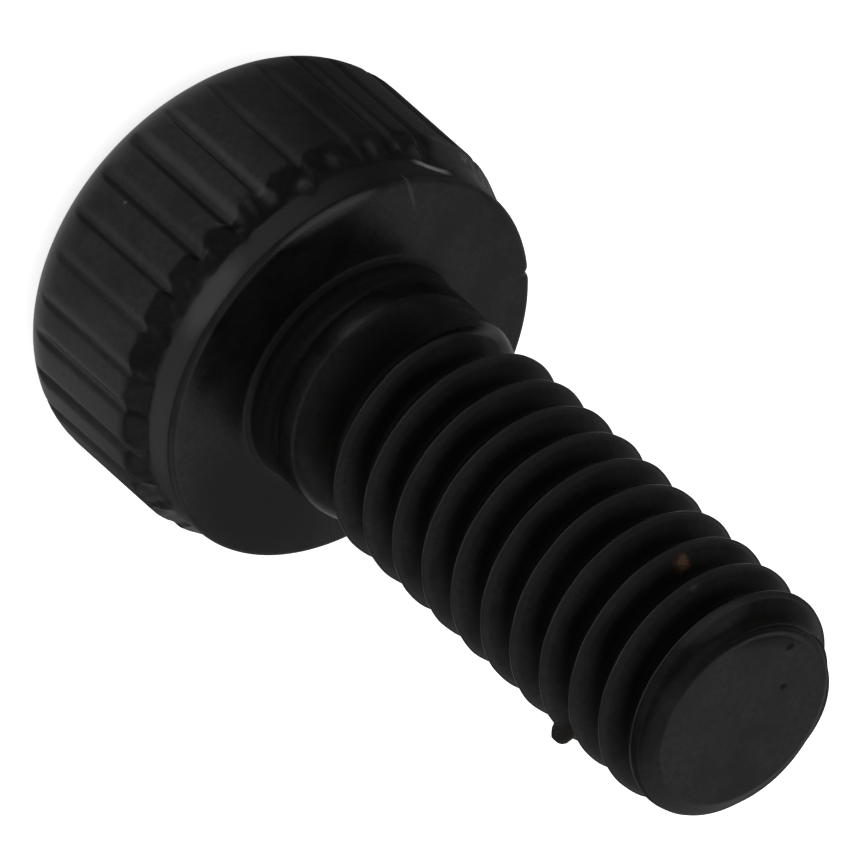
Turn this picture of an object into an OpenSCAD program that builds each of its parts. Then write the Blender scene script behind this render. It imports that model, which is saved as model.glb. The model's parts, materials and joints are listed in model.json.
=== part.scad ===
// A black hex socket cap screw, M2.5 by 6, with a straight-knurled head.
// It stands on the flat top of its head, with the thread pointing up along +Z.
// The origin is the middle of the head's flat top. All sizes are in millimetres.

/* [Head] */
// Diameter of the head over the lands of the knurl
head_d = 4.34; // [4:0.01:4.7]
// Height of the head, from its flat top to the bearing face
head_h = 2.36; // [2.2:0.01:2.7]
// Radius of the rounded edge round the flat top
top_edge_r = 0.61; // [0.2:0.01:0.7]
// Diameter of the plain collar beside the bearing face
collar_d = 4.06; // [3.6:0.01:4.1]
// Height of the plain collar
collar_h = 0.36; // [0.2:0.01:0.5]
// Height of the slope from the knurl down to the collar
shoulder_h = 0.2; // [0.1:0.01:0.35]
// Bevel that breaks the edge of the bearing face
bearing_bevel = 0.04; // [0.02:0.01:0.1]

/* [Knurl] */
// Number of grooves round the head
groove_count = 30; // [20:1:40]
// Azimuth of the first groove
groove_azimuth = 8.9; // [0:0.1:12]
// Width of a groove at the face of the lands
groove_w = 0.15; // [0.06:0.01:0.2]
// Depth of a groove below the face of the lands
groove_depth = 0.06; // [0.03:0.01:0.09]

/* [Socket] */
// Distance across the flats of the hex socket
key_af = 2.03; // [1.6:0.01:2.2]
// Depth of the hex socket, from the flat top to the end of its flats
key_depth = 1.15; // [0.8:0.01:1.25]
// Diameter of the drilled point in the bottom of the socket
drill_d = 1.9; // [1:0.01:1.95]
// Full angle of the drilled point
drill_angle = 140; // [118:1:150]
// How far the bevel round the socket's mouth reaches past the corners of the hex
mouth_bevel = 0.03; // [0.01:0.01:0.1]
// Full angle of the bevel round the socket's mouth
mouth_angle = 120; // [90:1:130]

/* [Thread] */
// Length under the head, from the bearing face to the end face
shank_l = 6; // [4:0.05:12]
// Outer diameter of the thread over its crests
thread_d = 2.36; // [2.2:0.01:2.5]
// Pitch of the thread
pitch = 0.45; // [0.35:0.01:0.5]
// Depth of the thread, from its crests to the bottom of its grooves
thread_depth = 0.22; // [0.15:0.005:0.25]
// Width of a crest along the axis
crest_w = 0.07; // [0.04:0.005:0.1]
// Width of the bottom of a groove along the axis
root_w = 0.13; // [0.08:0.005:0.16]
// How far the middle of a crest or groove stands past its edges
crown = 0.014; // [0.005:0.001:0.02]
// Azimuth at which the crest runs out through the end face
crest_azimuth = 80; // [0:1:359]

/* [Neck] */
// Diameter of the plain neck under the head, which the thread was rolled up from
neck_d = 2.32; // [2.1:0.01:2.4]
// Distance from the bearing face at which the groove of the thread starts
groove_start = 0.94; // [0.6:0.01:1.2]
// Length over which that groove grows to its full depth
groove_growth = 0.1; // [0.05:0.01:0.6]
// Radius of the fillet between the neck and the bearing face
neck_fillet = 0.07; // [0.05:0.01:0.2]

/* [Tip] */
// Diameter of the flat end face
tip_flat_d = 1.98; // [1.4:0.01:2]
// Diameter at which the bevel round the end face meets the taper
tip_rim_d = 2.17; // [2:0.01:2.2]
// Length of that bevel along the axis
tip_bevel_h = 0.1; // [0.04:0.01:0.12]
// Length from the end face over which the crests taper down to the bevel
tip_taper_h = 0.45; // [0.3:0.01:0.7]

/* [Hidden] */

// Overlap of cutters past the faces that they cut, so that no skin is left
cut_past = 0.2;
// Depth to which the shank is sunk into the head that it is one piece with
shank_root = 0.25;
// Sides of the shank, and sides of the round faces in a preview
shank_sides = 40;
round_sides = 96;
// Rings in the fillet
fillet_rings = 3;
// Points of the thread nearer than this to an end of the thread are moved onto it
snap = pitch / 40;

head_r = head_d / 2;
thread_r = thread_d / 2;
neck_r = neck_d / 2;
key_corner_r = key_af / 2 / cos(30);
total_h = head_h + shank_l;
thread_low = head_h + neck_fillet;
thread_high = total_h - tip_bevel_h;
// Turns of the helix, with one spare at each end for the part that starts and ends within a turn
turns = ceil((thread_high - thread_low) / pitch) + 3;

// One pitch of the thread as points [part of the pitch from the crest, part of the depth]
crown_part = crown / thread_depth;
profile = [
    [0, 0],
    [crest_w / 2 / pitch, crown_part],
    [0.5 - root_w / 2 / pitch, 1 - crown_part],
    [0.5, 1],
    [0.5 + root_w / 2 / pitch, 1 - crown_part],
    [1 - crest_w / 2 / pitch, crown_part]
];
profile_points = len(profile);
// The same pitch closed by the next crest, to look a depth up in
profile_closed = concat(profile, [[1, 0]]);

function clamp(x, low, high) = min(max(x, low), high);

// Height of the crest that passes the azimuth closest to the end face or past it
function crest_z(azimuth) = total_h + pitch * (azimuth - crest_azimuth) / 360;

// From 0 to 1 over the length along which the groove grows, with a smooth start and end
function growth(from_head) =
    let (t = clamp((from_head - groove_start) / groove_growth, 0, 1))
    t * t * (3 - 2 * t);

// Part of the full depth that a groove is cut to, taken at the height of its bottom
function cut_part(z, azimuth) =
    let (lead = (z - crest_z(azimuth)) / pitch)
    growth(z + pitch * (floor(lead) + 0.5 - lead) - head_h);

// Radius over the crests, which were rolled up from the neck
function crest_r(z) = neck_r + (thread_r - neck_r) * growth(z - head_h);

// Radius that the tip is bevelled and tapered to
function taper_r(z) =
    let (s = total_h - z,
         rim_r = tip_rim_d / 2,
         flat_r = tip_flat_d / 2)
    s < tip_bevel_h
        ? flat_r + (rim_r - flat_r) * s / tip_bevel_h
        : rim_r + (thread_r - rim_r) * (s - tip_bevel_h) / (tip_taper_h - tip_bevel_h);

// Radius that the fillet adds next to the bearing face
function fillet_r(z) =
    let (s = clamp((z - head_h) / neck_fillet, 0, 1))
    neck_fillet * (1 - sqrt(1 - pow(1 - s, 2)));

// Radius of the shank at a height and an azimuth
function shank_r(z, azimuth) =
    let (lead = (z - crest_z(azimuth)) / pitch,
         depth = thread_depth * cut_part(z, azimuth) * lookup(lead - floor(lead), profile_closed))
    min(crest_r(z) - depth, taper_r(z)) + fillet_r(z);

// Height of one point of the helical rows, moved onto an end of the thread when it is past it
function row_z(row, azimuth) =
    let (turn = floor(row / profile_points),
         z = crest_z(azimuth) + pitch * (turn - turns + 1 + profile[row % profile_points][0]))
    z < thread_low + snap ? thread_low : z > thread_high - snap ? thread_high : z;

// Heights of all points of the shank at one azimuth, from inside the head to the end face
function column_z(azimuth) = concat(
    [head_h - shank_root],
    [for (i = [0:fillet_rings - 1]) head_h + neck_fillet * (1 - cos(90 * i / fillet_rings))],
    [for (row = [0:turns * profile_points]) row_z(row, azimuth)],
    [total_h]
);

// The shank: a skin of triangles whose rows follow the helix, so that crests and grooves stay sharp
module shank() {
    columns = [for (j = [0:shank_sides - 1]) column_z(360 * j / shank_sides)];
    height = len(columns[0]);
    first = 1 + fillet_rings;
    last = first + turns * profile_points;
    points = [
        for (j = [0:shank_sides - 1])
            for (z = columns[j])
                let (azimuth = 360 * j / shank_sides,
                     r = shank_r(max(z, head_h), azimuth))
                [r * cos(azimuth), r * sin(azimuth), z]
    ];
    // Past the last side the helix has climbed one pitch, so its rows meet those one pitch higher
    function next_row(j, row) =
        j < shank_sides - 1 || row < first || row > last ? row : min(row + profile_points, last);
    function same(a, b) = points[a] == points[b];
    sides = [
        for (j = [0:shank_sides - 1])
            for (row = [0:height - 2])
                let (next = (j + 1) % shank_sides * height,
                     low = j * height + row,
                     high = low + 1,
                     low_next = next + next_row(j, row),
                     high_next = next + next_row(j, row + 1))
                each [
                    if (!same(low_next, high_next)) [low, high_next, low_next],
                    if (!same(low, high)) [low, high, high_next]
                ]
    ];
    bottom = [for (j = [0:shank_sides - 1]) j * height];
    top = [for (j = [shank_sides - 1:-1:0]) j * height + height - 1];
    polyhedron(points, concat([bottom], sides, [top]), convexity = 10);
}

// Half of the head's section, with the rounded top edge, the knurled band, the slope and the collar
module head_section() {
    collar_r = collar_d / 2;
    shoulder_z = head_h - collar_h;
    square([head_r - top_edge_r, head_h]);
    translate([head_r - top_edge_r, top_edge_r]) circle(r = top_edge_r);
    polygon([
        [0, top_edge_r],
        [head_r, top_edge_r],
        [head_r, shoulder_z - shoulder_h],
        [collar_r, shoulder_z],
        [collar_r, head_h - bearing_bevel],
        [collar_r - bearing_bevel, head_h],
        [0, head_h]
    ]);
}

// Grooves of the knurl, which run out through the rounded edge and through the slope
module knurl_grooves() {
    for (i = [0:groove_count - 1])
        rotate([0, 0, groove_azimuth + 360 * i / groove_count])
            translate([head_r, 0, -cut_past])
                linear_extrude(head_h + 2 * cut_past)
                    polygon([[-groove_depth, 0], [groove_depth, -groove_w], [groove_depth, groove_w]]);
}

// Hex socket with a bevelled mouth and a drilled point
module socket() {
    mouth_r = key_corner_r + mouth_bevel;
    mouth_slope = tan(mouth_angle / 2);
    translate([0, 0, -cut_past])
        cylinder(r = key_corner_r, h = key_depth + cut_past, $fn = 6);
    translate([0, 0, -cut_past])
        cylinder(r1 = mouth_r + cut_past * mouth_slope, r2 = 0, h = mouth_r / mouth_slope + cut_past);
    translate([0, 0, key_depth])
        cylinder(r1 = drill_d / 2, r2 = 0, h = drill_d / 2 / tan(drill_angle / 2));
}

module head() {
    difference() {
        rotate_extrude() head_section();
        knurl_grooves();
        socket();
    }
}

module cap_screw() {
    color([0.07, 0.07, 0.08])
        union() {
            head($fn = round_sides);
            shank();
        }
}

cap_screw();
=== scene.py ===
import json
import math

import bpy
import numpy as np
from mathutils import Matrix, Vector


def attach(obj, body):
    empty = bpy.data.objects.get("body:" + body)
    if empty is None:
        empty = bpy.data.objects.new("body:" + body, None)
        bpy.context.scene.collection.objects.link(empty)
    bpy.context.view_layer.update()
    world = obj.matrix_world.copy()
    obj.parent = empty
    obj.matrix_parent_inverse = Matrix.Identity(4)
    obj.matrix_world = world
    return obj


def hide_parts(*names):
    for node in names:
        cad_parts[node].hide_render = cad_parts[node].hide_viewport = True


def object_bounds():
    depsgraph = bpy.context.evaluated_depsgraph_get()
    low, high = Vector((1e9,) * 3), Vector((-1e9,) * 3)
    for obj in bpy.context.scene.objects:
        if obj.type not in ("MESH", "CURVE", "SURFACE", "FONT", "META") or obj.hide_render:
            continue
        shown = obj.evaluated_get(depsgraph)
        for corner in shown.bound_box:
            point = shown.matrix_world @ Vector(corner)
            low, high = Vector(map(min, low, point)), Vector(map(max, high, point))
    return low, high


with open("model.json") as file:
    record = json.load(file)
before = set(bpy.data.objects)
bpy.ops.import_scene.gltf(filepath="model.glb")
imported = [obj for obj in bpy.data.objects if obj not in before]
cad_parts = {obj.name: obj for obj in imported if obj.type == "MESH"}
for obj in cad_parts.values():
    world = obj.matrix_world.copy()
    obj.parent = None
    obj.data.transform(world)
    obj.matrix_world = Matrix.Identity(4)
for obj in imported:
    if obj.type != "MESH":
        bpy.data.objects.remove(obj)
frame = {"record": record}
cadLow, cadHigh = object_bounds()
mm = 0.001
mounts = {m["name"]: m for m in frame["record"]["mounts"]}

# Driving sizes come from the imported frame: the head stands on z = 0, the thread points up.
headRadius = (cadHigh.x - cadLow.x) / 2 / mm
totalHeight = cadHigh.z / mm
bearingHeight = mounts["bearing_face"]["pos_m"][2] / mm
print("frame loaded: head radius %.3f mm, height %.3f mm" % (headRadius, totalHeight))


# Camera

cameraSetup = {
    "lens": 1650.0,              # millimetres: a long macro lens, almost without perspective
    "sensor": 36.0,
    "pixelsPerMm": 110.1,        # scale of the photograph at the aim point
    "imageSize": 868,
    "elevation": 37.8,           # degrees above the plane of the bearing face
    "roll": 131.7,               # degrees that the thread leans over clockwise in the picture
    "aim": (-0.058, 0.0, 3.57),  # point of the screw in the middle of the picture, in mm
    "clip": (0.01, 10.0),        # nearest and farthest that it sees, in metres
}


def makeCamera(setup):
    # The camera stands back along the view direction by focal length in pixels over pixels per mm.
    camera = bpy.data.objects.new("camera", bpy.data.cameras.new("camera"))
    bpy.context.scene.collection.objects.link(camera)
    camera.data.lens = setup["lens"]
    camera.data.sensor_width = setup["sensor"]
    camera.data.clip_start, camera.data.clip_end = setup["clip"]
    focalPixels = setup["lens"] / setup["sensor"] * setup["imageSize"]
    distance = focalPixels / setup["pixelsPerMm"] * mm
    lift = math.radians(setup["elevation"])
    back = Vector((0.0, -math.cos(lift), math.sin(lift)))
    level = Vector((1.0, 0.0, 0.0))
    upright = back.cross(level)
    roll = math.radians(setup["roll"])
    right = level * math.cos(roll) + upright * math.sin(roll)
    up = back.cross(right)
    place = Vector(setup["aim"]) * mm + back * distance
    turn = Matrix((right, up, back)).transposed()
    camera.matrix_world = Matrix.Translation(place) @ turn.to_4x4()
    bpy.context.scene.camera = camera
    return camera


makeCamera(cameraSetup)
print("camera placed")


# Surface of the screw: all sizes in millimetres, all azimuths in degrees

headShape = {
    "topEdge": 0.61,           # radius of the rounded edge round the flat top
    "flatInner": 1.26,         # innermost ring of the flat top, just outside the socket's mouth
    "faceInner": 1.3,          # innermost ring of the bearing face, just outside the neck's fillet
    "collarRadius": 2.03,
    "collarHeight": 0.36,
    "shoulderHeight": 0.2,     # slope between the knurl and the collar
    "runIn": 0.1,              # how far before that slope its soft curve starts
    "runOut": 0.05,            # and how far past it the curve ends
    "bevel": 0.07,             # rounded edge of the bearing face
    "landStep": 0.035,         # how much higher or lower the knurl ends on each land
    "waviness": 0.007,         # unevenness of the shoulder
    # Metal that the roll pushed up at the end of each groove: how far aside in radians, how far before
    # the collar, half width in radians, half length, and how far it stands out
    "endLump": (-0.012, 0.09, 0.03, 0.05, 0.035),
    # Larger lumps of it on the side that shows: azimuth, height, length, width, and how far they stand out
    "lumps": [
        (242.1, 1.99, 0.06, 0.07, 0.055),
        (252.1, 1.90, 0.07, 0.06, 0.045),
        (256.6, 1.89, 0.07, 0.04, 0.035),
        (264.9, 1.85, 0.08, 0.05, 0.030),
        (263.4, 1.99, 0.05, 0.06, 0.030),
        (274.7, 1.93, 0.07, 0.05, 0.030),
        (231.7, 1.89, 0.07, 0.06, 0.045),
        (219.9, 1.88, 0.09, 0.05, 0.045),
        (281.4, 1.94, 0.06, 0.05, 0.025),
        (288.0, 1.93, 0.06, 0.06, 0.025),
        (207.0, 1.97, 0.07, 0.08, 0.040),
    ],
    "tongue": (193.0, 2.0, 0.24, 0.25, 0.09),  # a tongue of the knurl that runs on, given in the same way
    "nick": (149.3, 1.0, 0.05),                # in the edge of the bearing face: azimuth, half width, depth
}

knurlShape = {
    "grooves": 30,
    "firstGroove": 272.9,      # azimuth of groove number 0, on the side that faces the camera
    "columnsPerGroove": 20,
    "crowding": 0.6,           # how far the columns crowd into the grooves, 0 to 1
    "halfWidth": 0.075,
    "depth": 0.06,
    "depthAtEnd": 0.25,        # part of the depth that is left where the grooves run out
    "bottomRound": 0.05,       # squares of the parts of a half width that round the bottom
    "rimRound": 0.015,         # and the rims
    "lift": 0.13,              # part of the depth that makes up for this rounding
    "reach": 2.2,              # half widths at which the rounded rim has ended
    "burr": (1.4, 0.4, 0.0018),  # metal raised beside a groove: place and width in half widths, and height
    "blend": 0.012,            # softens the lands' ends
    # Degrees by which the roll set some grooves off their even spacing, by groove number
    "drift": {
        -6: 2.9, -5: 0.4, -4: -0.1, -3: 2.9, -2: 2.6, -1: 1.4, 1: 0.1, 2: -0.5, 3: 0.1, 4: -1.7, 5: -0.3},
    # Parts of the usual depth and width to which some grooves were rolled, and how far their bottoms lean
    "depths": {-4: 0.7, -3: 0.7, -2: 1.0, -1: 1.5, 0: 1.15, 1: 0.9, 2: 0.6, 3: 0.6, 4: 0.65},
    "widths": {-4: 1.1, -3: 1.1, -2: 1.5, -1: 2.0, 0: 1.5, 1: 1.2, 2: 1.1, 3: 1.1, 4: 1.1},
    "leans": {-4: 0.5, -3: 0.4, -2: 0.6, -1: 0.2, 0: 0.35, 1: 0.3, 2: 0.5, 3: 0.5, 4: 0.4},
    # How much painted highlight lies on one wall of a groove, and how much painted shade on the other
    "paintedHighlight": {-5: 0.35, -4: 0.35, -3: 0.4, -2: 0.9, -1: 1.0, 0: 0.35, 1: 0.35, 2: 0.3, 3: 0.35, 4: 0.3},
    "paintedShade": {-5: 0.2, -4: 0.2, -3: 0.3, -2: 0.35, -1: 1.0, 0: 1.2, 1: 0.9, 2: 0.4, 3: 0.4, 4: 0.5},
    "paintedHighlightAt": (-0.65, 0.38),  # middle and width of these stripes, in half widths from the bottom
    "paintedShadeAt": (0.35, 0.26),
    "lumpHighlight": (0.25, 0.5, 262.0),  # painted highlight on the pushed-up metal, how much more below an azimuth, and that
}

socketShape = {
    "acrossFlats": 2.03,
    "depth": 1.15,
    "drillRadius": 0.95,
    "drillAngle": 140.0,
    "mouthBevel": 0.03,
    "mouthAngle": 120.0,
    "mouthBlend": 0.006,       # softens the edge between the hex and the mouth
    "cornerRow": 0.01,         # how far above the bottom of the walls their first row lies
}

threadShape = {
    "crestRadius": 1.18,
    "neckRadius": 1.16,
    "rise": (0.7, 1.1),        # distances from the bearing face over which the crests rise from the neck
    "pitch": 0.45,
    "depth": 0.22,
    "flankAngle": 60.0,
    "crestRound": 0.06,        # radius that rounds the crests
    "rootRound": 0.03,         # distance over which the flanks run into the bottom of the groove
    "crestAzimuth": 80.0,      # azimuth at which the crest runs out through the end face
    "start": 0.94,             # distance from the bearing face at which the groove starts
    "started": 1.04,           # distance at which it has its full depth
    "firstWall": 0.48,         # length of the soft slope that leads from the neck into its first turn
    "deeper": 0.1,             # part by which the last turn before the end face is deeper
    "crestWave": 0.004,        # unevenness of the crests
    "fillet": 0.07,
    "ringDepth": 0.003,        # fine rings that turning left on the neck
    "ringStep": 0.15,
    "ringsFrom": (0.08, 0.2),  # distances from the bearing face over which they begin
    "columns": 200,
    "rowsPerPitch": 16,
    "crowding": 0.55,          # how far the rows crowd into the crests and bottoms, 0 to 1
}

neckLine = {
    "azimuth": 257.0,          # a fine line that the edge of the roll left on the neck, deepest here
    "fromHead": 0.36,
    "depth": 0.004,
    "halfWidth": 0.03,
}

dirtLump = {
    "azimuth": 0.0,            # a lump of dirt that sticks out of the thread
    "height": 6.935,
    "halfRound": 0.11,
    "halfAlong": 0.165,
    "outer": 1.285,            # radius that its top reaches
    "fall": 0.35,              # how far its dome falls to its edge
    "inner": 0.8,              # radius at which it is cut off, deep inside the screw
    "blend": 0.02,
}

tipShape = {
    "flatRadius": 0.915,
    "bevelSlope": 2.2,         # radius gained per length on the bevel round the end face
    "bevelRound": 0.035,
    "coneRadius": 1.072,       # the taper behind the bevel, carried on to the end face
    "coneSlope": 0.27,
    "coneRound": 0.015,
    "endRing": 0.012,          # length that the rows of the helix leave free at the end face
    "rings": (0.985, 0.96, 0.935, 0.91, 0.8, 0.5, 0.25),  # rings of the end face, as parts of its radius
    "crevice": (212.0, 32.0, 20.0),  # where the last crest was folded against it: azimuth, half width, fade
    "creviceRing": (0.955, 0.022, 0.02),  # place and width as parts of the radius, and depth
}


def wave(angle, counts, phases):
    # Mean of sines of whole-number frequency round the axis: a smooth unevenness from -1 to 1.
    return sum(np.sin(n * angle + p) for n, p in zip(counts, phases)) / len(counts)


def smoothMin(a, b, blend):
    # Polynomial minimum: the smaller of a and b, rounded over the distance blend where they cross.
    h = np.clip(0.5 + 0.5 * (b - a) / blend, 0.0, 1.0)
    return b + (a - b) * h - blend * h * (1.0 - h)


def smoothStep(x, low, high):
    # Three squares less two cubes of the part of the way from low to high.
    t = np.clip((x - low) / (high - low), 0.0, 1.0)
    return t * t * (3.0 - 2.0 * t)


def perGroove(numbers, usual, known):
    # The known value of each groove, or else the usual one varied by a sine of its number.
    def valueOf(k):
        return known.get(k, usual * (1.0 + 0.35 * math.sin(k * 2.4 + 0.6)))

    table = {int(k): valueOf(int(k)) for k in np.unique(numbers)}
    return np.array([table[int(k)] for k in numbers])


def headColumns(shape):
    # Azimuths of the head's columns: even steps inside each groove's share, crowded towards the groove
    # by taking away a sine, then shifted by the drift of the nearest grooves. Also gives the distance
    # in radians from each column to its groove, and the number of that groove.
    per = shape["columnsPerGroove"]
    share = 2.0 * math.pi / shape["grooves"]
    numbers = np.arange(shape["grooves"]) - shape["grooves"] // 2
    driftOf = np.array([shape["drift"].get(int(k), 0.0) for k in numbers])
    part = (np.arange(per) - per // 2) / per
    warped = part - shape["crowding"] * np.sin(2.0 * math.pi * part) / (2.0 * math.pi)
    steps = (numbers[:, None] + warped[None, :]).ravel()
    drift = np.interp(steps, numbers, driftOf, period=shape["grooves"])
    azimuth = math.radians(shape["firstGroove"]) + steps * share + np.radians(drift)
    return azimuth, np.tile(warped, len(numbers)) * share, np.repeat(numbers, per)


def arc(centre, radius, start, end, count):
    # Points (r, z) of a circle's arc, angles in degrees from the outward direction.
    t = np.radians(np.linspace(start, end, count))
    return np.stack([centre[0] + radius * np.cos(t), centre[1] + radius * np.sin(t)], 1)


def line(start, end, count):
    # Points (r, z) at even steps from start to end.
    return np.linspace(start, end, count)


def slope(start, end, count):
    # Even steps in height, with the radius falling in a smooth S from one to the other.
    part = np.linspace(0.0, 1.0, count)
    fall = part * part * (3.0 - 2.0 * part)
    return np.stack([start[0] + (end[0] - start[0]) * fall, start[1] + (end[1] - start[1]) * part], 1)


def aroundFrom(azimuth, middle):
    # Angle from the middle, in degrees from -180 to 180.
    return np.mod(np.degrees(azimuth) - middle + 180.0, 360.0) - 180.0


def socketSurface(azimuth, shape):
    # Rows run from the drilled point up the hex walls and over the mouth. The hex is the distance
    # to a flat over the cosine of the angle from that flat's middle; the mouth is the larger of
    # the hex and a cone.
    flat = shape["acrossFlats"] / 2
    drill = shape["drillRadius"]
    side = math.radians(60.0)
    hexRadius = flat / np.cos(np.mod(azimuth, side) - side / 2)
    corner = flat / math.cos(side / 2)
    point = drill / math.tan(math.radians(shape["drillAngle"] / 2))
    mouth = corner + shape["mouthBevel"]
    mouthSlope = math.tan(math.radians(shape["mouthAngle"] / 2))
    mouthDepth = (mouth - flat) / mouthSlope
    rows = []
    for part in (0.25, 0.6, 1.0):
        rows.append((part * drill + 0 * azimuth, shape["depth"] + point * (1.0 - part)))
    for part in (0.4, 0.85, 1.0):
        rows.append((drill + (hexRadius - drill) * part, shape["depth"]))
    for height in np.linspace(shape["depth"] - shape["cornerRow"], mouthDepth, 5):
        rows.append((hexRadius, height))
    for height in np.linspace(mouthDepth, 0.0, 6)[1:]:
        rows.append((smoothMin(hexRadius, mouth - height * mouthSlope, -shape["mouthBlend"]), height))
    radius = np.array([r for r, _ in rows])
    height = np.array([z + 0 * azimuth for _, z in rows])
    apex = shape["depth"] + point
    return radius, height, apex


def headSection(shape):
    # Points (r, z) of the head's section: the flat top, the rounded edge, the knurled band, the soft
    # slope of the shoulder, the collar, its rounded edge and the bearing face.
    top = shape["topEdge"]
    bevel = shape["bevel"]
    collar = shape["collarRadius"]
    shoulder = bearingHeight - shape["collarHeight"]
    slopeStart = shoulder - shape["shoulderHeight"] - shape["runIn"]
    slopeEnd = shoulder + shape["runOut"]
    beforeEdge = headRadius - top - 0.08    # last ring of the flat top
    beforeSlope = slopeStart - 0.06         # from here the rows lie closer
    return np.concatenate([
        line((shape["flatInner"], 0.0), (beforeEdge, 0.0), 3),
        arc((headRadius - top, top), top, -90.0, 0.0, 17),
        line((headRadius, top), (headRadius, beforeSlope), 6)[1:],
        line((headRadius, beforeSlope), (headRadius, slopeStart), 3)[1:],
        slope((headRadius, slopeStart), (collar, slopeEnd), 24)[1:],
        line((collar, slopeEnd), (collar, bearingHeight - bevel), 5)[1:],
        arc((collar - bevel, bearingHeight - bevel), bevel, 0.0, 90.0, 7)[1:],
        line((collar - bevel, bearingHeight), (shape["faceInner"], bearingHeight), 5)[1:],
    ])


def pushedMetal(azimuth, offset, number, height, shape):
    # Each lump stands out by a bell of the distances round and along from its middle. The tongue has
    # the fourth power of them in place of the square, which flattens its top.
    collar = shape["collarRadius"]
    aside, before, wide, long, proud = shape["endLump"]
    fromEnd = height - (bearingHeight - shape["collarHeight"] - before)
    atEnd = np.exp(-((offset - aside) / wide) ** 2 - (fromEnd / long) ** 2)
    pushed = proud * (0.5 + 0.5 * np.sin(number * 3.7 + 1.9)) * atEnd
    for power, lumps in ((2, shape["lumps"]), (4, [shape["tongue"]])):
        for middle, at, long, wide, proud in lumps:
            around = np.radians(aroundFrom(azimuth, middle)) * collar
            pushed = pushed + proud * np.exp(-((around / wide) ** power) - ((height - at) / long) ** power)
    return pushed


def grooveForm(offset, number, knurl):
    # A groove is a leaning V across its half width, rounded by a hyperbola at the bottom and by
    # another at the rims, with a bell-shaped burr beside it. Gives the part of the depth that is cut,
    # the burr, and the distance aside from the bottom in half widths.
    halfWidth = knurl["halfWidth"] / headRadius * perGroove(number, 1.0, knurl["widths"])
    lean = perGroove(number, 0.0, knurl["leans"])
    aside = offset / halfWidth - lean
    across = np.where(aside > 0.0, aside / (1.0 - lean), -aside / (1.0 + lean))
    left = 1.0 - np.sqrt(across**2 + knurl["bottomRound"]) + knurl["lift"]
    vee = 0.5 * (left + np.sqrt(left**2 + knurl["rimRound"])) * np.exp(-((across / knurl["reach"]) ** 4))
    place, wide, high = knurl["burr"]
    burr = high * np.exp(-((across - place) / wide) ** 2)
    return perGroove(number, 1.0, knurl["depths"]) * vee, burr, aside


def knurlPaintedLight(azimuth, number, aside, height, pushed, fade, knurl):
    # From -1, painted shade beside the bottom of a groove, to 1, a painted highlight on one of its walls
    # and on
    # the lumps: a bell across each groove for either, as far along as the grooves show.
    shown = fade * smoothStep(height, 0.1, 0.5)
    middle, wide = knurl["paintedHighlightAt"]
    bright = perGroove(number, 0.4, knurl["paintedHighlight"]) * np.exp(-(((aside - middle) / wide) ** 2))
    middle, wide = knurl["paintedShadeAt"]
    dark = perGroove(number, 0.5, knurl["paintedShade"]) * np.exp(-(((aside - middle) / wide) ** 2))
    onLump = np.clip(pushed / 0.05, 0.0, 1.0) * smoothStep(height, 1.7, 1.8)
    least, more, until = knurl["lumpHighlight"]
    lumpLit = least + more * (1.0 - smoothStep(aroundFrom(azimuth, until), -6.0, 6.0))
    return np.clip((bright - dark) * shown + lumpLit * onLump, -1.0, 1.0)


def headSurface(azimuth, offset, number, shape, knurl):
    # The section goes round the axis. The knurl takes the smaller of it and the lands less the
    # grooves, smoothly, and the pushed-up metal is added. Nothing stands past the head's radius.
    section = headSection(shape)
    base = section[:, :1] + 0 * azimuth
    height = section[:, 1:] + 0 * azimuth
    collar = shape["collarRadius"]
    shoulder = bearingHeight - shape["collarHeight"]
    band = shoulder - shape["shoulderHeight"]

    # The knurl ends a little higher or lower on each land, and its slope is wavy
    onSlope = smoothStep(height, band - 0.15, band)
    onSlope = onSlope * (1.0 - smoothStep(height, shoulder - 0.05, shoulder + 0.04))
    land = number + (offset > 0)
    step = np.sin(land * 5.1 + 0.7) * (1.0 - np.exp(-(offset / 0.02) ** 2))
    height = height + shape["landStep"] * step * onSlope
    uneven = wave(azimuth + 0.35 * height, (30, 47, 61, 83), (1.1, 2.6, 0.2, 3.3))
    base = base + shape["waviness"] * uneven * onSlope

    # The nick takes the edge of the bearing face down
    middle, wide, deep = shape["nick"]
    atEdge = smoothStep(height, bearingHeight - 0.12, bearingHeight - 0.04)
    atEdge = atEdge * smoothStep(base, collar - 0.12, collar - 0.04)
    base = base - deep * np.exp(-((aroundFrom(azimuth, middle) / wide) ** 2)) * atEdge

    # A quarter of the blend makes up for what the smooth minimum takes off the lands
    cut, burr, aside = grooveForm(offset, number, knurl)
    fade = 1.0 - smoothStep(height, band - 0.02, shoulder + 0.02)
    least = knurl["depthAtEnd"]
    lands = headRadius + knurl["blend"] / 4 - knurl["depth"] * cut * (least + (1.0 - least) * fade)
    lands = lands + burr * fade
    pushed = pushedMetal(azimuth, offset, number, height, shape)
    radius = smoothMin(base, lands, knurl["blend"]) + pushed
    onFlatTop = height < 1e-6
    radius = np.where(onFlatTop, base, np.minimum(radius, headRadius))
    return radius, height, knurlPaintedLight(azimuth, number, aside, height, pushed, fade, knurl)


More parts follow.
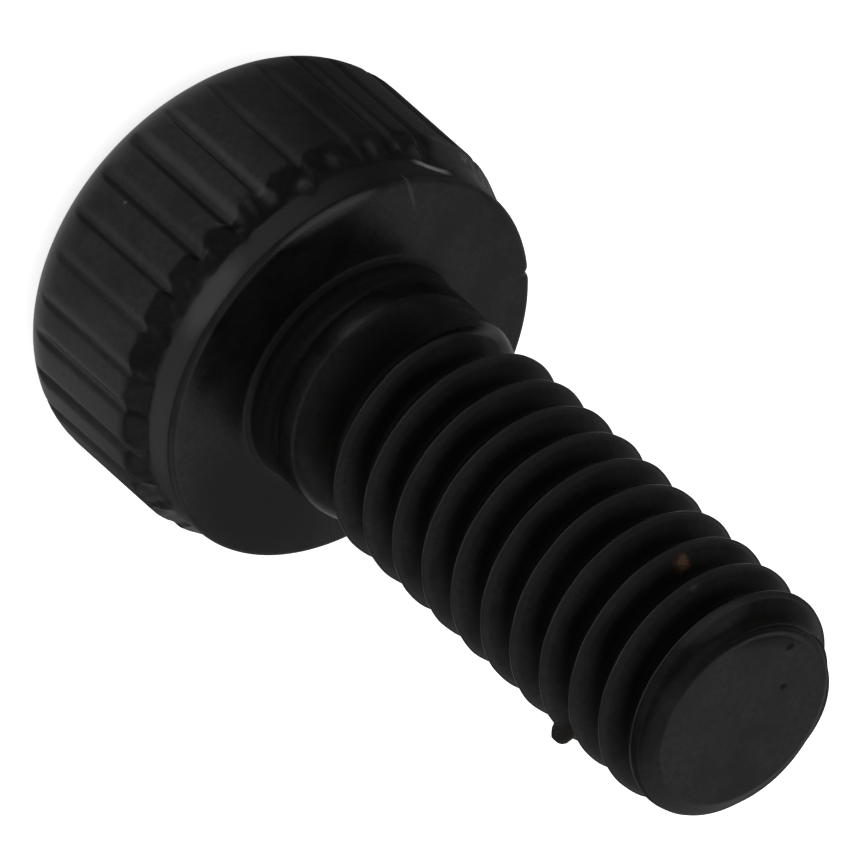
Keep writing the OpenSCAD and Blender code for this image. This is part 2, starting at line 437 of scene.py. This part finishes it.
def shankSurface(shape, tip):
    # Rows follow the helix, so each one keeps its place on the thread's form: the height is the
    # crest's height at that azimuth plus a part of the pitch, held between the fillet and the last ring.
    columns = shape["columns"]
    azimuth = 2.0 * math.pi * np.arange(columns) / columns
    low = bearingHeight + shape["fillet"]
    high = totalHeight - tip["endRing"]
    pitch = shape["pitch"]
    per = shape["rowsPerPitch"]
    turns = int((high - low) / pitch) + 3
    part = np.arange(per) / per
    part = part - shape["crowding"] * np.sin(4.0 * math.pi * part) / (4.0 * math.pi)
    steps = (np.arange(turns)[:, None] + part[None, :]).ravel()
    steps = np.append(steps, float(turns))
    crest = totalHeight + pitch * (azimuth / (2.0 * math.pi) - shape["crestAzimuth"] / 360.0)
    height = crest[None, :] + pitch * (steps[:, None] - turns + 1)
    snap = pitch / per / 3
    height = np.where(height < low + snap, low, height)
    height = np.where(height > high - snap, high, height)
    filletTurn = np.radians(np.linspace(0.0, 90.0, 6)[:-1])
    filletRows = bearingHeight + shape["fillet"] * (1.0 - np.cos(filletTurn))
    height = np.concatenate([
        np.repeat(filletRows[:, None], columns, 1), height, np.full((1, columns), totalHeight)])
    radius = shankRadius(height, azimuth[None, :] + 0 * height, shape, tip)
    return azimuth, radius, height, len(filletRows), len(steps)


def threadRadius(height, azimuth, shape):
    # The crest less the cut of the groove. A flank is a hyperbola at the crest and is rounded into
    # the bottom. How far the groove has grown is taken at its bottom, so that its walls stay straight.
    pitch = shape["pitch"]
    turn = (height - totalHeight) / pitch - azimuth / (2.0 * math.pi) + shape["crestAzimuth"] / 360.0
    fromCrest = np.abs(turn - np.round(turn)) * pitch
    fromHead = height - bearingHeight
    toBottom = pitch * (np.floor(turn) + 0.5 - turn)
    bottom = fromHead + toBottom
    last = 1.0 - smoothStep(totalHeight - bearingHeight - bottom, 0.0, pitch)
    depth = shape["depth"] * (1.0 + shape["deeper"] * last)
    crown = shape["crestRound"]
    flank = math.tan(math.radians(shape["flankAngle"])) * (np.sqrt(fromCrest**2 + crown**2) - crown)
    form = smoothMin(flank, depth, shape["rootRound"])
    grown, grownBefore, grownNext = [
        smoothStep(bottom + k * pitch, shape["start"], shape["started"]) for k in (0, -1, 1)]

    # On the neck's side of the first turn a soft slope takes the place of the flank
    laidBack = depth * (1.0 - smoothStep(toBottom, 0.0, shape["firstWall"]))
    nextBack = depth * (1.0 - smoothStep(toBottom + pitch, 0.0, shape["firstWall"]))
    headSide = np.where(toBottom > 0.0, form * grownBefore + laidBack * (1.0 - grownBefore), form)
    cut = grown * headSide + grownNext * (1.0 - grown) * nextBack
    risen = smoothStep(fromHead, *shape["rise"])
    radius = shape["neckRadius"] + (shape["crestRadius"] - shape["neckRadius"]) * risen - cut

    # Rings on the neck, and waves on the crests
    rings = np.sin(2.0 * math.pi * (fromHead / shape["ringStep"] + 0.15 * np.sin(azimuth + 1.0)))
    onNeck = smoothStep(fromHead, *shape["ringsFrom"]) * (1.0 - grownNext)
    radius = radius - shape["ringDepth"] * (1.0 + rings) * onNeck
    atCrest = np.clip(1.0 - form / shape["crestRound"], 0.0, 1.0) * grown
    return radius + shape["crestWave"] * wave(azimuth + 5.0 * height, (3, 7, 13), (0.0, 1.7, 4.1)) * atCrest


def neckLineDepth(height, azimuth, shape, mark):
    # The fine line on the neck follows the helix, and fades with the cosine of the angle from its middle.
    aside = np.radians(aroundFrom(azimuth, mark["azimuth"]))
    fromLine = height - bearingHeight - mark["fromHead"] - shape["pitch"] * aside / (2.0 * math.pi)
    return mark["depth"] * np.exp(-((fromLine / mark["halfWidth"]) ** 2)) * (0.5 + 0.5 * np.cos(aside))


def dirtDome(height, azimuth, lump):
    # A rough dome: its top less the fourth power of the distance from its middle.
    around = np.radians(aroundFrom(azimuth, lump["azimuth"])) * lump["outer"]
    along = height - lump["height"]
    rough = 1.0 + 0.4 * np.sin(40.0 * around + 1.0) * np.sin(45.0 * along + 0.5)
    away = (around / lump["halfRound"]) ** 2 + (along / lump["halfAlong"]) ** 2
    return np.maximum(lump["outer"] - lump["fall"] * rough * away**2, lump["inner"])


def shankRadius(height, azimuth, shape, tip):
    # The thread, and no more than the taper or the bevel of the tip; then the larger of it and the lump
    # of dirt, smoothly, and the fillet's quarter circle beside the bearing face.
    fromEnd = totalHeight - height
    bevel = tip["flatRadius"] + tip["bevelSlope"] * fromEnd
    cone = tip["coneRadius"] + tip["coneSlope"] * fromEnd
    radius = threadRadius(height, azimuth, shape) - neckLineDepth(height, azimuth, shape, neckLine)
    radius = smoothMin(smoothMin(radius, cone, tip["coneRound"]), bevel, tip["bevelRound"])
    radius = -smoothMin(-radius, -dirtDome(height, azimuth, dirtLump), dirtLump["blend"])
    inFillet = np.clip((height - bearingHeight) / shape["fillet"], 0.0, 1.0)
    return radius + shape["fillet"] * (1.0 - np.sqrt(1.0 - (1.0 - inFillet) ** 2))


def endFaceRings(azimuth, rim, tip):
    # Rings inside the rim of the end face, sunk where the last crest was folded against it.
    part = np.array(tip["rings"])[:, None]
    middle, wide, fading = tip["crevice"]
    folded = smoothStep(wide - np.abs(aroundFrom(azimuth, middle)), 0.0, fading)
    at, width, deep = tip["creviceRing"]
    return part * rim, totalHeight - deep * folded * np.exp(-(((part - at) / width) ** 2))


def gridPoints(azimuth, radius, height):
    # x is the radius times the cosine of the azimuth, and y times its sine.
    x = radius * np.cos(azimuth)
    y = radius * np.sin(azimuth)
    return np.stack([x, y, height], -1).reshape(-1, 3)


def gridFaces(rows, columns, first):
    # Two triangles for each cell of a closed ring of columns, rows counted along the section.
    r = np.arange(rows - 1)[:, None]
    c = np.arange(columns)[None, :]
    a = first + r * columns + c
    b = first + r * columns + (c + 1) % columns
    up = columns
    return np.concatenate([
        np.stack([a, b, b + up], -1).reshape(-1, 3),
        np.stack([a, b + up, a + up], -1).reshape(-1, 3)])


def helixFaces(rows, columns, first, helixStart, helixRows, shift):
    # As gridFaces, but past the last column the helix has climbed one pitch, so its rows meet those
    # that lie shift rows further on.
    row = np.arange(rows)
    inside = (row >= helixStart) & (row < helixStart + helixRows)
    shifted = np.where(inside, np.minimum(row + shift, helixStart + helixRows - 1), row)
    r = np.arange(rows - 1)[:, None] + 0 * np.arange(columns)[None, :]
    c = np.arange(columns)[None, :] + 0 * r
    nextColumn = (c + 1) % columns
    wraps = nextColumn == 0
    lowNext = np.where(wraps, shifted[r], r)
    highNext = np.where(wraps, shifted[r + 1], r + 1)
    a = first + r * columns + c
    b = first + lowNext * columns + nextColumn
    d = first + highNext * columns + nextColumn
    e = first + (r + 1) * columns + c
    return np.concatenate([
        np.stack([a, b, d], -1).reshape(-1, 3),
        np.stack([a, d, e], -1).reshape(-1, 3)])


def stitchFaces(outerFirst, innerFirst, outerOf, innerCount):
    # Joins a ring of outerOf * innerCount points to one of innerCount: a fan from each inner point
    # over its share of the outer ring, and one triangle to the next inner point.
    i = np.arange(innerCount)
    inner = innerFirst + i
    innerNext = innerFirst + (i + 1) % innerCount
    outerCount = outerOf * innerCount
    faces = []
    for k in range(outerOf):
        a = outerFirst + (i * outerOf + k) % outerCount
        b = outerFirst + (i * outerOf + k + 1) % outerCount
        faces.append(np.stack([a, b, inner], -1))
    last = outerFirst + (i * outerOf + outerOf) % outerCount
    faces.append(np.stack([last, innerNext, inner], -1))
    return np.concatenate(faces)


def poleFaces(pole, first, columns, upward):
    # A fan of triangles from a ring of columns to one point.
    c = np.arange(columns)
    a = first + c
    b = first + (c + 1) % columns
    p = np.full(columns, pole)
    return np.stack([a, b, p] if upward else [b, a, p], -1)


def mergedMesh(name, points, faces, paintedLight):
    # Points at the same place, to a tenth of a micrometre, become one, and faces without area go.
    keys = np.round(points / 1e-4).astype(np.int64)
    _, firstOf, inverse = np.unique(keys, axis=0, return_index=True, return_inverse=True)
    faces = inverse.reshape(-1)[faces]
    good = (faces[:, 0] != faces[:, 1]) & (faces[:, 1] != faces[:, 2]) & (faces[:, 2] != faces[:, 0])
    mesh = bpy.data.meshes.new(name)
    mesh.from_pydata((points[firstOf] * mm).tolist(), [], faces[good].tolist())
    # The knurl's painted highlight and painted shade go with the points
    attribute = mesh.attributes.new("paintedLight", "FLOAT", "POINT")
    attribute.data.foreach_set("value", paintedLight[firstOf].astype(np.float32))
    mesh.validate()
    mesh.update()
    mesh.shade_smooth()
    piece = bpy.data.objects.new(name, mesh)
    bpy.context.scene.collection.objects.link(piece)
    return piece


def makeScrew():
    # One closed skin of five parts, each joined to the ring before it: the drilled point, the hex
    # socket with the head, the ring of triangles to the shank, the shank and the end face.
    azimuth, offset, number = headColumns(knurlShape)
    columns = len(azimuth)
    socketR, socketZ, apex = socketSurface(azimuth, socketShape)
    headR, headZ, headPaintedLight = headSurface(azimuth, offset, number, headShape, knurlShape)
    innerR = np.concatenate([socketR, headR])
    innerZ = np.concatenate([socketZ, headZ])
    rows = len(innerR)
    shankAz, shankR, shankZ, helixStart, helixRows = shankSurface(threadShape, tipShape)
    shankRows, shankColumns = shankR.shape
    ringR, ringZ = endFaceRings(shankAz, shankR[-1], tipShape)
    points = np.concatenate([
        np.array([[0.0, 0.0, apex]]),
        gridPoints(azimuth, innerR, innerZ),
        gridPoints(shankAz, shankR, shankZ),
        gridPoints(shankAz, ringR, ringZ),
        np.array([[0.0, 0.0, totalHeight]])])

    # Number of the first point in the head's last ring, in the shank, in its last ring, and of the pole
    lastRing = 1 + (rows - 1) * columns
    firstShank = 1 + rows * columns
    firstFace = firstShank + (shankRows - 1) * shankColumns
    pole = firstFace + (len(ringR) + 1) * shankColumns

    # The head's ring is counted from its column nearest azimuth 0, where the shank's columns start
    order = (np.arange(columns) + int(np.argmin(np.mod(azimuth, 2.0 * math.pi)))) % columns
    joint = stitchFaces(0, columns, columns // shankColumns, shankColumns)
    onHead = lastRing + order[joint % columns]
    joint = np.where(joint < columns, onHead, firstShank + joint - columns)
    faces = np.concatenate([
        poleFaces(0, 1, columns, False),
        gridFaces(rows, columns, 1),
        joint,
        helixFaces(shankRows, shankColumns, firstShank, helixStart, helixRows, threadShape["rowsPerPitch"]),
        gridFaces(len(ringR) + 1, shankColumns, firstFace),
        poleFaces(pole, pole - shankColumns, shankColumns, True)])
    # Painted highlight and painted shade of the knurl, for each point
    paintedLight = np.zeros(len(points))
    firstHead = 1 + len(socketR) * columns
    paintedLight[firstHead:firstHead + headPaintedLight.size] = headPaintedLight.ravel()
    return mergedMesh("screw_skin", points, faces, paintedLight)


screw = makeScrew()
print("screw skin: %d points, %d triangles" % (len(screw.data.vertices), len(screw.data.polygons)))


# Finish

blackening = {
    "colour": (0.0023, 0.0021, 0.0020),
    "mottled": 1.8,                            # times that colour where the black is thinner
    "shadedGrooveColour": (0.0019, 0.0014, 0.0010),  # painted shade towards the bottoms of the thread's grooves
    "crestHighlightColour": (0.0088, 0.0086, 0.0088),    # crests of the thread: a painted highlight along them
    "crestHighlightEdge": (1.12, 1.155),                 # radii over which this begins
    "threadRadii": (1.2, 1.22),                # and the radii past which nothing is thread
    "edgeColour": (0.009, 0.009, 0.009),       # edge of the bearing face, where the black is rubbed thin
    "paintedHighlight": (0.024, 0.023, 0.023),        # and a painted highlight on one wall of each of the knurl's grooves
    "paintedShadeShine": 0.12,                         # shine of the painted shade on the other wall of those grooves
    "roughness": (0.23, 0.32),
    "reflection": 0.62,
    "shine": (0.62, 0.98),                     # part of that reflection, from dull to polished grain
    "shadedGrooveShine": 0.12,
    "grooveShadeEdge": (0.97, 1.16),                # radii over which the thread's grooves lose their shine, as painted shade
    "collarShine": 1.0,
    "bumpStrength": 0.3,
    "bumpHeight": 0.004,                       # mm
    "ragged": (1.15, 0.4),                     # parts of a mark's radii over which its cover sets in
}

# Marks of use, with painted highlights and painted shade among them: place and radii in mm, turn about the
# axis and tilt in degrees, then colour, shine, cover and how ragged the edge is
marks = {
    "rust": (
        (-0.684, -0.836, 7.290), (0.12, 0.10, 0.10), (-39, 0), (0.020, 0.009, 0.004), 0.4, 1.0, 1.8),
    "rustCore": (
        (-0.690, -0.830, 7.290), (0.07, 0.08, 0.06), (-39, 0), (0.055, 0.029, 0.014), 0.4, 1.0, 1.8),
    "rustTail": (
        (-0.600, -0.890, 7.370), (0.09, 0.08, 0.06), (-35, 0), (0.006, 0.002, 0.001), 0.2, 0.9, 1.8),
    "pitLarge": (
        (-0.453, 0.130, 8.36), (0.046, 0.046, 0.03), (0, 0), (0.002, 0.002, 0.002), 0.0, 1.0, 1.5),
    "pitSmall": (
        (-0.754, -0.188, 8.36), (0.07, 0.04, 0.03), (150, 0), (0.002, 0.002, 0.002), 0.0, 1.0, 1.5),
    "speck": (
        (0.240, -2.157, 0.818), (0.024, 0.05, 0.022), (0, 0), (0.045, 0.045, 0.045), 0.8, 1.0, 0.8),
    "neckBand": (
        (0.0, 0.0, 2.60), (2.2, 2.2, 0.22), (0, 0), (0.0075, 0.0072, 0.0072), 1.3, 0.8, 0.3),
    "neckBare": (
        (-0.400, -1.094, 2.874), (0.40, 0.18, 0.15), (-20, 0), (0.009, 0.009, 0.009), 1.15, 0.8, 0.6),
    "neckBright": (
        (-0.270, -1.130, 2.915), (0.18, 0.12, 0.06), (-16, 0), (0.020, 0.020, 0.020), 1.0, 0.8, 1.2),
    "neckShade": (
        (-1.04, -0.45, 3.30), (0.45, 0.70, 0.50), (0, 0), (0.004, 0.004, 0.004), 0.30, 1.0, 0.2),
    "crestBare": (
        (-0.306, -1.140, 3.554), (0.24, 0.12, 0.085), (-15, 0), (0.022, 0.022, 0.022), 1.2, 0.9, 0.8),
    "crestDing": (
        (0.257, -1.152, 4.490), (0.10, 0.06, 0.05), (12, 0), (0.030, 0.029, 0.030), 1.0, 1.0, 1.0),
    "nick1": (
        (-0.600, -1.016, 7.729), (0.07, 0.06, 0.04), (-30, 0), (0.035, 0.034, 0.035), 1.0, 1.0, 1.0),
    "nick2": (
        (-0.199, -1.133, 8.270), (0.08, 0.06, 0.04), (-10, 0), (0.030, 0.030, 0.030), 1.0, 1.0, 1.0),
    "tipBare": (
        (-0.500, -1.010, 8.145), (0.46, 0.18, 0.13), (-26, 0), (0.012, 0.012, 0.012), 1.3, 0.8, 0.5),
    "crestSpot": (
        (1.125, -0.280, 8.010), (0.08, 0.08, 0.05), (76, 0), (0.030, 0.030, 0.030), 1.0, 0.9, 1.0),
    # A painted highlight on the edge of the tongue beside the collar
    "tongueHighlight": (
        (-1.895, -0.860, 2.160), (0.22, 0.12, 0.062), (114, 31), (0.16, 0.16, 0.155), 1.0, 1.0, 0.5),
    "hairline": (
        (-1.562, -1.088, 2.340), (0.30, 0.024, 0.10), (68, 0), (0.030, 0.027, 0.028), 0.8, 0.9, 0.8),
    "edgeBare": (
        (-0.908, -1.782, 2.350), (0.80, 0.16, 0.026), (-27, 0), (0.032, 0.031, 0.031), 1.1, 1.0, 0.5),
    # A painted highlight on the collar: its reflection is lifted past that of the metal
    "collarHighlight": (
        (0.360, -2.000, 2.160), (0.50, 0.22, 0.19), (10, 0), (0.003, 0.0028, 0.0028), 2.1, 1.0, 0.2),
    # Painted shade: a darker, duller patch on the bearing face
    "faceShadePatch": (
        (1.45, 0.25, 2.360), (0.85, 1.25, 0.06), (0, 0), (0.0021, 0.0019, 0.0018), 0.40, 1.0, 0.3),
    "dirt": (
        (1.220, 0.0, 6.95), (0.22, 0.19, 0.24), (0, 0), (0.016, 0.014, 0.012), 0.3, 1.0, 0.8),
}


def node(tree, kind, **values):
    # A value goes to the node's setting of that name, or else to its socket.
    made = tree.nodes.new(kind)
    for key, value in values.items():
        if hasattr(made, key):
            setattr(made, key, value)
        else:
            made.inputs[key.replace("_", " ")].default_value = value
    return made


def ramp(tree, value, low, high, start=0.0, end=1.0):
    # Goes smoothly from start to end while the value goes from low to high.
    made = node(tree, "ShaderNodeMapRange", interpolation_type="SMOOTHSTEP")
    for name, number in (("From Min", low), ("From Max", high), ("To Min", start), ("To Max", end)):
        made.inputs[name].default_value = number
    tree.links.new(value, made.inputs["Value"])
    return made.outputs["Result"]


def maths(tree, kind, *terms):
    # One sum on terms that are each given or linked.
    made = node(tree, "ShaderNodeMath", operation=kind)
    for slot, term in enumerate(terms):
        if isinstance(term, float):
            made.inputs[slot].default_value = term
        else:
            tree.links.new(term, made.inputs[slot])
    return made.outputs["Value"]


def mixed(tree, factor, a, b):
    # Colours a and b, each given or linked, mixed by the factor.
    made = node(tree, "ShaderNodeMix", data_type="RGBA")
    tree.links.new(factor, made.inputs["Factor"])
    for slot, value in ((6, a), (7, b)):
        if isinstance(value, tuple):
            made.inputs[slot].default_value = (*value, 1.0)
        else:
            tree.links.new(value, made.inputs[slot])
    return made.outputs[2]


def length(tree, vector):
    made = node(tree, "ShaderNodeVectorMath", operation="LENGTH")
    tree.links.new(vector, made.inputs[0])
    return made.outputs["Value"]


def separated(tree, vector):
    made = node(tree, "ShaderNodeSeparateXYZ")
    tree.links.new(vector, made.inputs["Vector"])
    return made.outputs


def grey(level):
    return (level,) * 3


def layMarks(tree, setup, spots, millimetres, fine, colour, shine):
    # Each mark is an ellipsoid: its cover fades with the distance from its middle, as parts of its
    # radii, made ragged by the fine noise.
    for name, (spot, size, turn, tint, gloss, cover, uneven) in spots.items():
        local = node(tree, "ShaderNodeMapping", vector_type="TEXTURE")
        local.name = name
        local.inputs["Location"].default_value = spot
        local.inputs["Rotation"].default_value = (0.0, -math.radians(turn[1]), math.radians(turn[0]))
        local.inputs["Scale"].default_value = size
        tree.links.new(millimetres, local.inputs["Vector"])
        ragged = maths(tree, "MULTIPLY_ADD", fine, float(uneven), -0.5 * uneven)
        away = maths(tree, "ADD", length(tree, local.outputs["Vector"]), ragged)
        share = ramp(tree, away, *setup["ragged"], 0.0, cover)
        colour = mixed(tree, share, colour, tint)
        shine = mixed(tree, share, shine, grey(gloss))
    return colour, shine


def blackenedSteel(setup, spots):
    material = bpy.data.materials.new("blackened_steel")
    material.use_nodes = True
    tree = material.node_tree
    shader = tree.nodes["Principled BSDF"]
    place = node(tree, "ShaderNodeTexCoord")
    scaled = node(tree, "ShaderNodeMapping")
    scaled.inputs["Scale"].default_value = (1 / mm,) * 3
    tree.links.new(place.outputs["Object"], scaled.inputs["Vector"])
    millimetres = scaled.outputs["Vector"]

    def noise(scale, detail, roughness=0.55):
        made = node(tree, "ShaderNodeTexNoise", Scale=scale, Detail=detail, Roughness=roughness)
        tree.links.new(millimetres, made.inputs["Vector"])
        return made.outputs["Fac"]

    mottle = noise(2.2, 5.0)
    fine = noise(16.0, 4.0, 0.7)
    grain = noise(38.0, 3.0)
    height = separated(tree, millimetres)["Z"]
    flat = node(tree, "ShaderNodeVectorMath", operation="MULTIPLY")
    flat.inputs[1].default_value = (1.0, 1.0, 0.0)
    tree.links.new(millimetres, flat.inputs[0])
    radius = length(tree, flat.outputs["Vector"])

    # Painted shade: the mask is 1 outside the grooves of the thread, and falls to 0 towards their bottoms
    uneven = maths(tree, "MULTIPLY_ADD", mottle, 0.1, -0.05)
    unshaded = ramp(tree, maths(tree, "ADD", radius, uneven), *setup["grooveShadeEdge"])
    unshaded = maths(tree, "MAXIMUM", unshaded, ramp(tree, height, totalHeight - 0.14, totalHeight - 0.06))
    unshaded = maths(tree, "MAXIMUM", unshaded, ramp(tree, height, bearingHeight + 1.0, bearingHeight + 0.6))

    # The black, thinner in places, painted shade in the grooves, a painted highlight on the crests, and the
    # rubbed edge of the bearing face
    thinner = tuple(c * setup["mottled"] for c in setup["colour"])
    colour = mixed(tree, ramp(tree, mottle, 0.35, 0.75), setup["colour"], thinner)
    colour = mixed(tree, unshaded, setup["shadedGrooveColour"], colour)
    low, high = setup["threadRadii"]
    # A painted highlight along the crests of the thread
    onCrest = maths(tree, "MULTIPLY", ramp(tree, radius, *setup["crestHighlightEdge"]), ramp(tree, radius, high, low))
    pastNeck = ramp(tree, height, bearingHeight + 1.0, bearingHeight + 1.2)
    colour = mixed(tree, maths(tree, "MULTIPLY", onCrest, pastNeck), colour, setup["crestHighlightColour"])
    patches = ramp(tree, mottle, 0.25, 0.6)
    nearFace = ramp(tree, height, bearingHeight - 0.055, bearingHeight - 0.03)
    onEdge = maths(tree, "MULTIPLY", ramp(tree, radius, 1.955, 1.975), nearFace)
    colour = mixed(tree, maths(tree, "MULTIPLY", onEdge, patches), colour, setup["edgeColour"])

    # Shine, from dull to polished grain, less in the grooves as painted shade, and that of the collar
    dull, polished = setup["shine"]
    grained = maths(tree, "MULTIPLY", ramp(tree, fine, 0.25, 0.7), patches)
    shine = mixed(tree, grained, grey(dull), grey(polished))
    shine = mixed(tree, unshaded, grey(setup["shadedGrooveShine"]), shine)
    onCollar = maths(tree, "MULTIPLY", ramp(tree, height, 2.0, 2.06), ramp(tree, radius, 1.96, 2.01))
    besideFace = ramp(tree, height, bearingHeight, bearingHeight - 0.04)
    shine = mixed(tree, maths(tree, "MULTIPLY", onCollar, besideFace), shine, grey(setup["collarShine"]))

    # Painted highlight and painted shade of the knurl, then the marks
    paintedLight = node(tree, "ShaderNodeAttribute", attribute_name="paintedLight").outputs["Fac"]
    colour = mixed(tree, ramp(tree, paintedLight, 0.0, 1.0), colour, setup["paintedHighlight"])
    shine = mixed(tree, ramp(tree, paintedLight, -0.1, -1.0), shine, grey(setup["paintedShadeShine"]))
    colour, shine = layMarks(tree, setup, spots, millimetres, fine, colour, shine)
    tree.links.new(colour, shader.inputs["Base Color"])
    tree.links.new(shine, shader.inputs["Specular Tint"])
    tree.links.new(ramp(tree, mottle, 0.3, 0.7, *setup["roughness"]), shader.inputs["Roughness"])
    shader.inputs["Specular IOR Level"].default_value = setup["reflection"]

    bump = node(tree, "ShaderNodeBump")
    bump.inputs["Strength"].default_value = setup["bumpStrength"]
    bump.inputs["Distance"].default_value = setup["bumpHeight"] * mm
    tree.links.new(maths(tree, "ADD", grain, fine), bump.inputs["Height"])
    tree.links.new(bump.outputs["Normal"], shader.inputs["Normal"])
    return material


screw.data.materials.append(blackenedSteel(blackening, marks))
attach(screw, "root")
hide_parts("cap_screw")
print("finish set")


# Floor and light

studio = {
    "floorSize": 4.0,              # metres
    "floorColour": 0.8,
    "floorRoughness": 0.9,
    "floorGlow": 0.75,             # added to the floor for camera rays, so that it shows white
    "brightSide": 295.0,           # azimuth towards which the screw mirrors a bright floor
    "brightRise": (-0.15, 0.9),    # how far a direction leans that way where the brightness starts and ends
    "mirroredBright": 0.39,
    "mirroredDim": 0.07,
    "mirroredBack": 0.36,          # what its rims mirror of the floor behind it
    "backEdge": (0.001, 0.006),    # how far behind this starts, in metres
    "mirroredFar": 0.06,           # what it mirrors of the floor far off
    "nearEdge": (0.005, 0.015),    # how far off the near brightness ends, in metres
    "mirroredRoom": 0.3,           # what it mirrors of the rest of the floor, up to the horizon
    "roomEdge": (0.02, 0.07),      # how far off that begins, in metres
    "skyLight": 0.9,               # even light of the room
    "skyFront": 0.11,              # what the screw mirrors above the horizon on the camera's side
    "skyBack": 0.255,              # and on the far side
    "skyRise": (-0.7, 0.3),        # parts of the direction along Y over which it goes from one to the other
    "skyDimSide": 0.3,             # part of that which is left towards the dim side
    "skyDimRise": (-1.0, 0.0),     # parts of the direction along X between which it dims
    "lampPlace": (0.1, 0.35, 0.45),
    "lampSize": 0.3,
    "lampPower": 0.05,
}


def makeFloor(setup):
    # Plain white card. What mirrored rays see of it is brightest towards one side: a smooth ramp of how
    # far the direction from the screw leans that way. It is lifted behind the screw, falls off a little way
    # out, and comes back towards the horizon.
    half = setup["floorSize"] / 2
    mesh = bpy.data.meshes.new("floor")
    corners = [(-half, -half, 0.0), (half, -half, 0.0), (half, half, 0.0), (-half, half, 0.0)]
    mesh.from_pydata(corners, [], [(0, 1, 2, 3)])
    floor = bpy.data.objects.new("floor", mesh)
    bpy.context.scene.collection.objects.link(floor)
    material = bpy.data.materials.new("white_card")
    material.use_nodes = True
    tree = material.node_tree
    shader = tree.nodes["Principled BSDF"]
    shader.inputs["Base Color"].default_value = (*grey(setup["floorColour"]), 1.0)
    shader.inputs["Roughness"].default_value = setup["floorRoughness"]
    shader.inputs["Emission Color"].default_value = (1.0, 1.0, 1.0, 1.0)
    rays = node(tree, "ShaderNodeLightPath")
    glow = maths(tree, "MULTIPLY", rays.outputs["Is Camera Ray"], setup["floorGlow"])
    tree.links.new(glow, shader.inputs["Emission Strength"])

    place = node(tree, "ShaderNodeTexCoord").outputs["Object"]
    turn = math.radians(setup["brightSide"])
    direction = node(tree, "ShaderNodeVectorMath", operation="NORMALIZE")
    leaning = node(tree, "ShaderNodeVectorMath", operation="DOT_PRODUCT")
    leaning.inputs[1].default_value = (math.cos(turn), math.sin(turn), 0.0)
    tree.links.new(place, direction.inputs[0])
    tree.links.new(direction.outputs["Vector"], leaning.inputs[0])
    levels = (setup["mirroredDim"], setup["mirroredBright"])
    side = ramp(tree, leaning.outputs["Value"], *setup["brightRise"], *levels)
    behind = ramp(tree, separated(tree, place)["Y"], *setup["backEdge"], 0.0, setup["mirroredBack"])
    reach = length(tree, place)
    fading = node(tree, "ShaderNodeMix", data_type="FLOAT")
    fading.inputs["B"].default_value = setup["mirroredFar"]
    tree.links.new(ramp(tree, reach, *setup["nearEdge"]), fading.inputs["Factor"])
    tree.links.new(maths(tree, "MAXIMUM", side, behind), fading.inputs["A"])
    room = ramp(tree, reach, *setup["roomEdge"], 0.0, setup["mirroredRoom"])
    mirrored = node(tree, "ShaderNodeEmission")
    tree.links.new(maths(tree, "MAXIMUM", fading.outputs["Result"], room), mirrored.inputs["Strength"])
    either = node(tree, "ShaderNodeMixShader")
    tree.links.new(rays.outputs["Is Glossy Ray"], either.inputs["Fac"])
    tree.links.new(shader.outputs["BSDF"], either.inputs[1])
    tree.links.new(mirrored.outputs["Emission"], either.inputs[2])
    tree.links.new(either.outputs["Shader"], tree.nodes["Material Output"].inputs["Surface"])
    mesh.materials.append(material)
    return floor


def makeSky(setup):
    # White for camera rays and even for light; mirrored rays see it rise from the camera's side to
    # the far side, and fall off towards the dim side.
    world = bpy.data.worlds.new("sky")
    bpy.context.scene.world = world
    world.use_nodes = True
    tree = world.node_tree
    background = tree.nodes["Background"]
    background.inputs["Color"].default_value = (1.0, 1.0, 1.0, 1.0)
    rays = node(tree, "ShaderNodeLightPath")
    direction = separated(tree, node(tree, "ShaderNodeTexCoord").outputs["Generated"])
    back = ramp(tree, direction["Y"], *setup["skyRise"], setup["skyFront"], setup["skyBack"])
    side = ramp(tree, direction["X"], *setup["skyDimRise"], setup["skyDimSide"], 1.0)
    mirrored = node(tree, "ShaderNodeMix", data_type="FLOAT")
    mirrored.inputs["A"].default_value = setup["skyLight"]
    tree.links.new(rays.outputs["Is Glossy Ray"], mirrored.inputs["Factor"])
    tree.links.new(maths(tree, "MULTIPLY", back, side), mirrored.inputs["B"])
    shown = node(tree, "ShaderNodeMix", data_type="FLOAT")
    shown.inputs["B"].default_value = 1.0
    tree.links.new(rays.outputs["Is Camera Ray"], shown.inputs["Factor"])
    tree.links.new(mirrored.outputs["Result"], shown.inputs["A"])
    tree.links.new(shown.outputs["Result"], background.inputs["Strength"])


def makeLamp(name, setup):
    light = bpy.data.lights.new(name, "AREA")
    light.shape = "DISK"
    light.size = setup["lampSize"]
    light.energy = setup["lampPower"]
    lamp = bpy.data.objects.new(name, light)
    lamp.location = setup["lampPlace"]
    toScrew = Vector((0.0, 0.0, bearingHeight * mm)) - lamp.location
    lamp.rotation_euler = toScrew.to_track_quat("-Z", "Y").to_euler()
    bpy.context.scene.collection.objects.link(lamp)
    return lamp


makeFloor(studio)
makeSky(studio)
makeLamp("key_lamp", studio)
print("studio set")

bpy.context.scene.view_settings.view_transform = "Standard"
